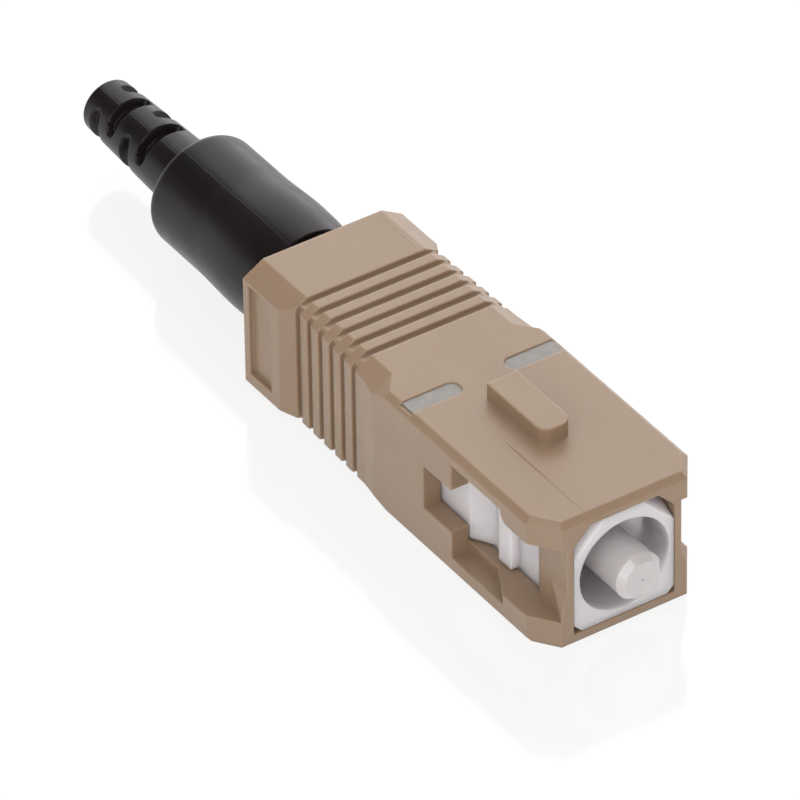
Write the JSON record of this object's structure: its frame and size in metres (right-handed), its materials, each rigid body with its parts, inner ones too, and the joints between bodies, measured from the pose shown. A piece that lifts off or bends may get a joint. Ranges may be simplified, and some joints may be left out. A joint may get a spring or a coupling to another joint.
{
  "type": "sc fibre connector",
  "caption": "Field-fitted push-pull fibre connector with a keyed beige grip, pale plug frame, ceramic ferrule and black strain relief boot.",
  "frame": {"origin": "on the ferrule's axis in the plane of the plug frame's front face", "axes": "+X along the ferrule towards the adapter, +Z towards the key, +Y to the left seen from behind"},
  "size_m": [0.0453, 0.009, 0.0079],
  "materials": {
    "grip_plastic": "satin beige moulding",
    "mark_paint": "pale fill",
    "frame_plastic": "satin pale moulding",
    "ferrule_ceramic": "polished white ceramic",
    "fibre_glass": "clear glass",
    "inner_plastic": "plain inner moulding",
    "rear_plastic": "dark inner moulding",
    "spring_steel": "drawn wire",
    "crimp_metal": "plain metal",
    "boot_rubber": "soft satin black"
  },
  "bodies": {
    "connector_body": {"plug_frame": "frame_plastic", "rear_body": "rear_plastic", "boot": "boot_rubber", "spring": "spring_steel"},
    "grip": {"grip_housing": "grip_plastic", "seating_mark_left": "mark_paint", "seating_mark_right": "mark_paint"},
    "ferrule_group": {"ferrule": "ferrule_ceramic", "fibre_stub": "fibre_glass", "ferrule_holder": "inner_plastic", "splice_base": "inner_plastic", "splice_lid": "inner_plastic", "lead_in_tube": "inner_plastic", "crimp_tube": "crimp_metal"},
    "cam": {"cam_sleeve": "rear_plastic"}
  },
  "joints": [
    {"name": "grip_slide", "type": "slide", "parent": "connector_body", "child": "grip", "axis": [-1, 0, 0], "range_m": [0, 0.0011]},
    {"name": "ferrule_float", "type": "slide", "parent": "connector_body", "child": "ferrule_group", "axis": [-1, 0, 0], "range_m": [0, 0.0008], "stiffness_N_per_m": 2000, "deforming": ["spring"]},
    {"name": "cam_turn", "type": "hinge", "parent": "ferrule_group", "child": "cam", "pos_m": [-0.02, 0, 0], "axis": [1, 0, 0], "range_deg": [0, 90]}
  ]
}
